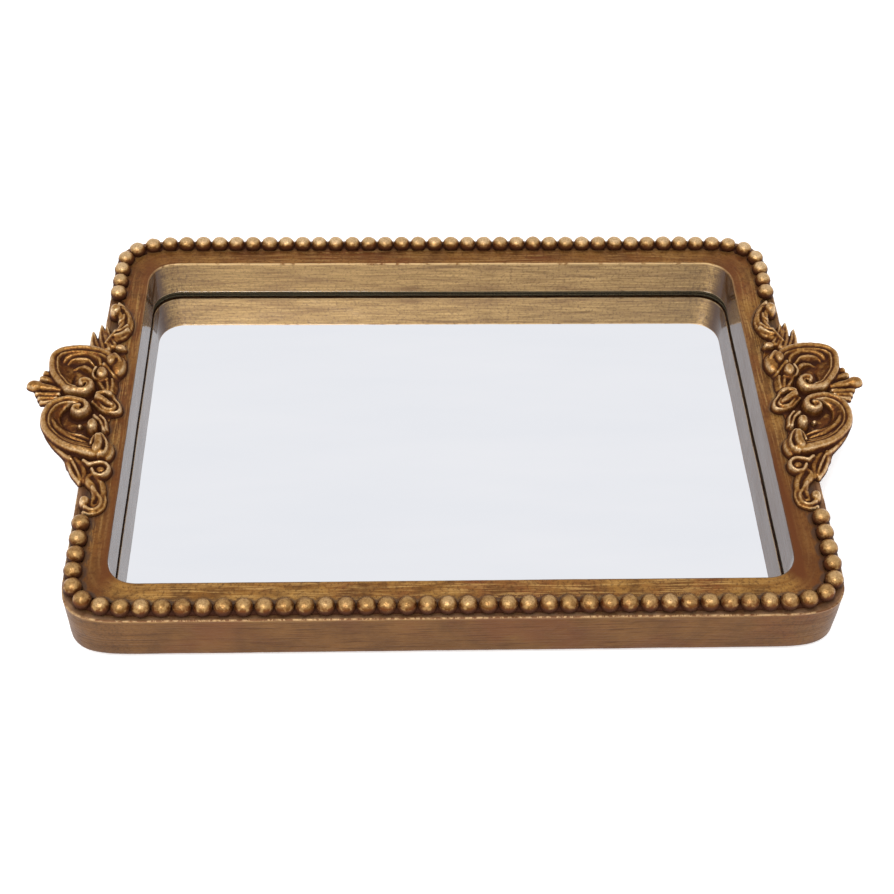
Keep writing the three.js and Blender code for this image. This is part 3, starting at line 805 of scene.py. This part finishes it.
# Ground that the relief stands on, inside the scrolls' outer ridges.
GROUND = [
    (-11, 41), (-11.5, 36), (-13, 31), (-13.8, 25.5), (-12.6, 20), (-8, 12), (-11, 2), (-9, -12),
    (-11, -26), (-10, -37), (-4, -41), (-2, -43), (0, -43.5), (2.5, -39), (5, -33.5), (9, -29),
    (13, -24.5), (17, -16), (17.5, -6), (18.5, 0), (23, 3), (24, 10), (22.5, 17), (19, 20), (18.5, 26),
    (15, 31), (8, 33), (4.5, 37), (2.5, 42), (0, 46), (-2, 46), (-5, 43),
]
GROUND_TOP = 0.8
WALL_SLOPE = 4.0
SOFT_SLOPE = 1.4
EDGE_DEPTH = 3.0
CHANNEL_EDGE = -7.5

# Distances over which the height field is smoothed or searched.
SURFACE_BLUR = 0.2
EDGE_REACH = 2.4
EDGE_BLUR = 0.9
UNDER_BLUR = 0.6
TAPER_REACH = 9.6
COVER_BLUR = 0.78
BROAD_WAX = 1.9
CLOSE_WAX = 0.7
LEAST_CLEAR = 0.02

# How far a scroll's inner side has dropped, against distance from its crest, both in half widths.
BAND_AT = (0, 0.3, 0.55, 0.75, 0.95, 1.15, 1.45, 1.7, 1.95, 2.3, 3.0, 4.0, 5.5, 7.0)
BAND_DROP = (0, 0.04, 0.18, 0.5, 1.0, 0.85, 0.55, 0.8, 1.45, 1.9, 2.5, 3.2, 3.8, 4.4)


def spread(values, count):
    """One value, or values evenly spaced along a ridge, at each of its points."""
    values = np.atleast_1d(values)
    return np.interp(np.linspace(0, 1, count), np.linspace(0, 1, len(values)), values)


def widest(values, reach):
    """Largest value within a square that reaches this many cells each way."""
    for axis in (0, 1):
        shifted = [np.roll(values, step, axis) for step in range(-reach, reach + 1)]
        values = np.max(shifted, axis=0)
    return values


class Relief:
    """Height field of one handle, built up by taking the highest of its ridges and lobes."""

    def __init__(self):
        self.u = np.arange(U_RANGE[0], U_RANGE[1], CELL)
        self.v = np.arange(V_RANGE[0], V_RANGE[1], CELL)
        self.U, self.V = np.meshgrid(self.u, self.v)
        self.height = np.full(self.U.shape, -12.0)

    def window(self, low, high):
        rows = slice(*np.searchsorted(self.v, [low[1], high[1]]))
        columns = slice(*np.searchsorted(self.u, [low[0], high[0]]))
        return rows, columns

    def raise_to(self, area, values):
        self.height[area] = np.maximum(self.height[area], values)

    def ridge(self, points, heights, widths, kind):
        points = np.asarray(points, float)
        knots = np.column_stack([points, spread(heights, len(points)), spread(widths, len(points))])
        line = spline(knots)
        margin = line[:, 3].max() * (7 if kind == "band" else 1) + 4.0
        area = self.window(line[:, :2].min(0) - margin, line[:, :2].max(0) + margin)
        U, V = self.U[area], self.V[area]
        best = np.full(U.shape, 1e9)
        nearest = np.zeros(U.shape + (3,))
        for i in range(len(line) - 1):
            start, end = line[i], line[i + 1]
            step = end[:2] - start[:2]
            across, along = U - start[0], V - start[1]
            t = ((across * step[0] + along * step[1]) / max(step @ step, 1e-9)).clip(0, 1)
            distance = np.hypot(across - t * step[0], along - t * step[1])
            closer = distance < best
            best = np.where(closer, distance, best)
            past_end = (t <= 0) if i == 0 else (t >= 1) & (i == len(line) - 2)
            inner = ((across * step[1] - along * step[0]) > 0) & ~past_end
            values = np.concatenate([start[2:] + t[..., None] * (end - start)[2:], inner[..., None]], 2)
            nearest = np.where(closer[..., None], values, nearest)
        top, half, inner = nearest[..., 0], nearest[..., 1], nearest[..., 2] > 0.5
        s = (best / half).clip(0, 1)
        round_top = top - half * (1 - np.sqrt(1 - s**2))
        beyond = (best - half).clip(0)
        if kind == "leaf":
            groove = 0.5 * half * np.exp(-((best / half / 0.28) ** 2))
            shape = top - groove - 0.55 * half * s**3 - WALL_SLOPE * beyond
        elif kind == "soft":
            shape = round_top - SOFT_SLOPE * beyond
        else:
            shape = round_top - WALL_SLOPE * beyond
        if kind == "band":
            shape -= 0.24 * half * np.exp(-(((best / half - 0.6) / 0.2) ** 2))
            dropped = top - half * np.interp(best / half, BAND_AT, BAND_DROP)
            dropped -= 5 * (best / half - BAND_AT[-1]).clip(0)
            shape = np.where(inner, dropped, shape)
        self.raise_to(area, shape)

    def lobe(self, centre, radii, top, turn=0):
        reach = max(radii) + 4
        area = self.window(np.array(centre) - reach, np.array(centre) + reach)
        angle = math.radians(turn)
        du, dv = self.U[area] - centre[0], self.V[area] - centre[1]
        a = (du * math.cos(angle) + dv * math.sin(angle)) / radii[0]
        b = (dv * math.cos(angle) - du * math.sin(angle)) / radii[1]
        distance = np.hypot(a, b)
        depth = min(radii)
        dome = top - depth * (1 - np.sqrt(1 - distance.clip(0, 1) ** 2))
        self.raise_to(area, dome - WALL_SLOPE * depth * (distance - 1).clip(0))

    def depth_inside(self, outline):
        """Distance in from a closed outline, negative outside it."""
        line = spline(list(outline) + [outline[0]])[:, :2]
        inside = np.zeros(self.U.shape, bool)
        best = np.full(self.U.shape, 1e9)
        for (u0, v0), (u1, v1) in zip(line, line[1:]):
            crosses = (v0 > self.V) != (v1 > self.V)
            at = u0 + (self.V - v0) * (u1 - u0) / (v1 - v0 if v1 != v0 else 1e-9)
            inside ^= crosses & (self.U < at)
            du, dv = self.U - u0, self.V - v0
            t = (du * (u1 - u0) + dv * (v1 - v0)) / max((u1 - u0) ** 2 + (v1 - v0) ** 2, 1e-9)
            t = t.clip(0, 1)
            best = np.minimum(best, np.hypot(du - t * (u1 - u0), dv - t * (v1 - v0)))
        return np.where(inside, best, -best)


def handle_relief(seed):
    """Top surface, underside and outline of one handle."""
    relief = Relief()
    ground = relief.depth_inside(GROUND)
    relief.raise_to(slice(None), GROUND_TOP + WALL_SLOPE * ground.clip(None, 0))
    kinds = {"band": BANDS, "round": ROUND_RIDGES, "soft": SOFT_RIDGES, "leaf": LEAVES}
    for kind, ridges in kinds.items():
        for ridge in ridges.values():
            relief.ridge(*ridge, kind)
    for lobe in LOBES.values():
        relief.lobe(*lobe)
    height = blurred(relief.height, SURFACE_BLUR)

    # worked surface: low lumps and a fine grain
    lumps = np.zeros(height.shape)
    for row, v in enumerate(relief.v):
        for column, u in enumerate(relief.u):
            if height[row, column] > -2:
                at = Vector((u, v, seed))
                lumps[row, column] = 0.22 * noise.noise(at * 0.45) + 0.13 * noise.noise(at * 1.1)
    height = height + lumps

    # the casting's edge lies on the rail, dips over the bead channel, and beyond the frame is a
    # little below its nearest ridges; from there the casting is undercut
    on_rail, over_channel, lowest = 0.05, -1.0, -1.5
    edge = blurred(widest(height, int(EDGE_REACH / CELL)), EDGE_BLUR) - EDGE_DEPTH
    edge = np.maximum(edge, lowest)
    edge = np.where(relief.U < 0.0, over_channel, edge)
    edge = np.where(relief.U < CHANNEL_EDGE, on_rail, edge)
    low_edge = np.where(ground > -1.2, np.minimum(edge, GROUND_TOP - 0.4), edge)
    edge = np.where(relief.U < 0.0, edge, blurred(low_edge, UNDER_BLUR))
    clear = np.maximum(height - edge, ground.clip(None, 1.0))
    inside = clear > 0
    depth = np.zeros(height.shape)
    left = inside.copy()
    for turn in range(int(TAPER_REACH / CELL)):
        diagonal = turn % 2
        steps = [(r, c) for r in (-1, 0, 1) for c in (-1, 0, 1) if diagonal or r * c == 0]
        near = [np.roll(left, step, (0, 1)) for step in steps]
        left = np.logical_and.reduce(near)
        depth += left * CELL
    under = np.where(inside, np.minimum(edge, height - 1.0) - depth, edge)
    under = np.maximum(blurred(under, UNDER_BLUR), UNDERSIDE)
    under = np.where(relief.U < 0.0, edge, np.minimum(under, edge - 0.05))
    relief.height, relief.edge, relief.clear, relief.under = height, edge, clear, under
    relief.covered = blurred(inside.astype(float), COVER_BLUR)
    return relief


def build_handle(relief, name, replaced, side):
    """Turns the relief into a closed casting; side is +1 for the right handle."""
    height, clear, edge = relief.height, relief.clear, relief.edge
    inside = clear > LEAST_CLEAR
    u, v = relief.U.copy(), relief.V.copy()
    outside = clear.clip(None, 0)
    sums = np.zeros(u.shape)
    move_u, move_v = np.zeros(u.shape), np.zeros(u.shape)
    for dr, dc in ((0, 1), (0, -1), (1, 0), (-1, 0)):
        near_clear = np.roll(clear, (-dr, -dc), (0, 1))
        boundary = ~inside & (near_clear > LEAST_CLEAR)
        share = np.where(boundary, -outside / (near_clear - outside + 1e-9), 0).clip(0, 0.9)
        move_u += share * dc * CELL
        move_v += share * dr * CELL
        sums += boundary
    snapped = sums > 0
    u = np.where(snapped, u + move_u / sums.clip(1), u)
    v = np.where(snapped, v + move_v / sums.clip(1), v)
    used = inside | snapped
    top = np.where(inside, height, edge)

    above = -np.ones(u.shape, int)
    above[used] = np.arange(used.sum())
    below = above.copy()
    below[inside] = used.sum() + np.arange(inside.sum())
    points = [np.stack([u[used], v[used], top[used]], 1)]
    points.append(np.stack([u[inside], v[inside], relief.under[inside]], 1))
    points = np.concatenate(points)
    faces = []
    for r in range(len(height) - 1):
        row_used = used[r] | used[r + 1]
        for c in np.nonzero(row_used[:-1] | row_used[1:])[0]:
            cells = [(r, c), (r, c + 1), (r + 1, c + 1), (r + 1, c)]
            kept = [cell for cell in cells if used[cell]]
            if len(kept) < 3 or not any(inside[cell] for cell in kept):
                continue
            faces.append(tuple(above[cell] for cell in kept))
            faces.append(tuple(below[cell] for cell in reversed(kept)))

    # dark wax and painted shade where the surface is below its surroundings, rubbed gold and painted
    # highlights where it is above
    broad = blurred(np.maximum(height, edge), BROAD_WAX) - height
    close = blurred(np.maximum(height, edge), CLOSE_WAX) - height
    recess = (0.36 * broad + 2.4 * close - 0.03).clip(0, 1)
    crest = (-0.08 * broad - 1.4 * close).clip(0, 1)
    points[:, 0] = side * (OUTER["x"] + points[:, 0])
    points[:, 2] += RAIL_TOP
    if side < 0:
        faces = [face[::-1] for face in faces]
    made = make_object(name, points, faces, slot="cast_gold", smooth_angle=180)
    # painted shade on the casting's edge on the rail and on its underside
    underneath = np.zeros(inside.sum())
    recess = np.where(inside, recess, 0.7)[used]
    crest = np.where(inside, crest, 0.0)[used]
    point_attribute(made, "recess", np.concatenate([recess, underneath + 0.35]))
    point_attribute(made, "crest", np.concatenate([crest, underneath]))
    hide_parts(replaced)


# ---- fixings and feet


def turned(name, profile, sides, centre, slot):
    """A turned piece from [radius, height] steps that start and end on the axis."""
    turn = np.linspace(0, 2 * math.pi, sides, endpoint=False)
    inner = profile[1:-1]
    points = [
        (centre[0] + radius * math.cos(t), centre[1] + radius * math.sin(t), centre[2] + z)
        for radius, z in inner
        for t in turn
    ]
    faces = grid_faces(len(inner), sides)
    first, last = len(points), len(points) + 1
    points += [(centre[0], centre[1], centre[2] + profile[end][1]) for end in (0, -1)]
    end = (len(inner) - 1) * sides
    faces += [(first, (i + 1) % sides, i) for i in range(sides)]
    faces += [(last, end + i, end + (i + 1) % sides) for i in range(sides)]
    return make_object(name, points, faces, slot=slot, smooth_angle=35)


def foot_and_size(node_name):
    """Middle of a round node's underside, its radius and its height."""
    low, high = box_mm(node_name)
    size = high - low
    return low + size * (0.5, 0.5, 0), size[0] / 2, size[2]


def pull_in(made, centre, share):
    """Moves each point along its distance from the upright line through centre."""
    for vertex in made.data.vertices:
        x, y, z = np.array(vertex.co) / MM - centre
        vertex.co.x = (centre[0] + x * share(x, y, z)) * MM
        vertex.co.y = (centre[1] + y * share(x, y, z)) * MM


def build_board_screw(node_name):
    """Countersunk screw: domed rim, cross recess and a threaded shank."""
    centre, _, length = foot_and_size(node_name)
    head_radius = 2.4
    profile = [(0, 1.1), (0.35, 1.0), (0.75, 0.55), (1.15, 0.1), (1.3, 0.02), (2.1, 0.0), (2.32, 0.06)]
    profile += [(head_radius, 0.25), (1.15, 1.3)]
    z = 1.6
    while z < length - 1.4:
        profile += [(0.85, z), (1.12, z + 0.25), (0.85, z + 0.5)]
        z += 0.8
    profile += [(0.6, length - 0.7), (0.1, length - 0.05), (0, length)]
    made = turned(f"{node_name}_cut", profile, 32, centre, "zinc_steel")

    def cross(x, y, z):
        """The recess has four arms that reach further out than the flats between them."""
        arm = abs(math.cos(2 * math.atan2(y, x))) ** 3
        return 0.35 + 0.65 * arm if z < 1.05 and math.hypot(x, y) < 1.32 else 1.0

    pull_in(made, centre, cross)
    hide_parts(node_name)


def build_pad(node_name, seed):
    """Felt disc, soft at the edge."""
    centre, radius, thick = foot_and_size(node_name)
    profile = [(0, 0.0)]
    profile += [(radius * share, 0.0) for share in (0.25, 0.5, 0.75, 0.9)]
    for angle in np.radians(np.linspace(-80, 80, 7)):
        across, up = 0.5 * (math.cos(angle) - 1), 0.5 * thick * (1 + math.sin(angle))
        profile.append((radius + across, up))
    profile += [(radius * share, thick) for share in (0.9, 0.5)] + [(0, thick)]
    made = turned(f"{node_name}_felt", profile, 72, centre, "brown_felt")
    pull_in(made, centre, lambda x, y, z: 1 + 0.012 * noise.noise(Vector((x * 0.9, y * 0.9, seed))))
    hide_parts(node_name)


# ---- camera, light and floor


def build_camera():
    """Standing in front of the tray and a little to its left, looking down at it."""
    camera = bpy.data.cameras.new("camera")
    camera.sensor_width = 36.0
    camera.lens = 60.27
    camera.clip_start = 0.01
    made = bpy.data.objects.new("camera", camera)
    bpy.context.scene.collection.objects.link(made)
    down, left, roll = (math.radians(angle) for angle in (48.90, -3.328, 2.153))
    look = Matrix.Rotation(left, 4, "Z") @ Matrix.Rotation(math.pi / 2 - down, 4, "X")
    place = Vector((-0.02772, -0.46906, BEAD_CENTRE * MM + 0.50929))
    made.matrix_world = Matrix.Translation(place) @ look @ Matrix.Rotation(roll, 4, "Z")
    bpy.context.scene.camera = made


def build_studio():
    scene = bpy.context.scene
    scene.view_settings.view_transform = "Standard"
    world = bpy.data.worlds.new("studio")
    scene.world = world
    world.use_nodes = True
    background = world.node_tree.nodes["Background"]
    background.inputs["Color"].default_value = (0.929, 0.929, 0.943, 1.0)
    background.inputs["Strength"].default_value = 1.0

    lamp = bpy.data.lights.new("key", "AREA")
    lamp.shape = "SQUARE"
    lamp.size = 0.45
    lamp.energy = 7.0
    key = bpy.data.objects.new("key", lamp)
    scene.collection.objects.link(key)
    place = Vector((-0.25, -0.70, 1.20))
    turned_to_tray = (-place).to_track_quat("-Z", "Y").to_matrix().to_4x4()
    key.matrix_world = Matrix.Translation(place) @ turned_to_tray

    points = [(-4, -4, 0), (4, -4, 0), (4, 4, 0), (-4, 4, 0)]
    mesh = bpy.data.meshes.new("floor")
    mesh.from_pydata(points, [], [(0, 1, 2, 3)])
    floor = bpy.data.objects.new("floor", mesh)
    scene.collection.objects.link(floor)
    material, tree = new_material("pale_floor")
    grain = speckle(tree, object_point(tree), 30.0, 3.0, 0.5)
    inputs = {"Base Color": painted(srgb(252, 252, 252), (grain, srgb(254, 254, 254)))}
    inputs.update({"Roughness": 0.8, "Emission Color": (1, 1, 1, 1), "Emission Strength": 0.35})
    mesh.materials.append(surfaced(material, inputs))


# ---- putting it together


def finish_node(node_name, slot):
    """Gives a kept CAD node its material."""
    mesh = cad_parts[node_name].data
    mesh.materials.clear()
    mesh.materials.append(materials[slot])


materials = {
    "antique_gold_frame": gilt_frame_material(),
    "bead_gold": gilt_relief_material("bead_gold", srgb(108, 68, 28), srgb(186, 146, 92), 420.0),
    "cast_gold": gilt_relief_material("cast_gold", srgb(112, 68, 28), srgb(172, 126, 68), 300.0),
    "mirror_silver": mirror_material(),
    "black_foam": foam_material(),
    "hardboard": hardboard_material(),
    "zinc_steel": steel_material(),
    "brown_felt": felt_material(),
}
build_camera()
build_studio()
front_places, rear_places = bead_places(24, -1), bead_places(23, 1)
reliefs = {-1: handle_relief(3.0), 1: handle_relief(9.0)}
build_frame(front_places + rear_places, reliefs)

# the rear beads get stronger painted highlights than the front ones
build_beads("front_beads", "front_bead_string", front_places, 11, (0.3, 0.6))
build_beads("rear_beads", "rear_bead_string", rear_places, 23, (0.65, 1.0))
build_handle(reliefs[-1], "left_scroll_handle", "left_handle", -1)
build_handle(reliefs[1], "right_scroll_handle", "right_handle", 1)
finish_node("mirror_plate", "mirror_silver")
finish_node("mirror_gasket", "black_foam")
finish_node("back_board", "hardboard")
for number in range(1, 5):
    finish_node(f"handle_screw_{number}", "zinc_steel")
for number in range(1, 9):
    build_board_screw(f"board_screw_{number}")
for number, corner in enumerate(("front_left", "front_right", "rear_left", "rear_right")):
    build_pad(f"{corner}_pad", number * 7.0)
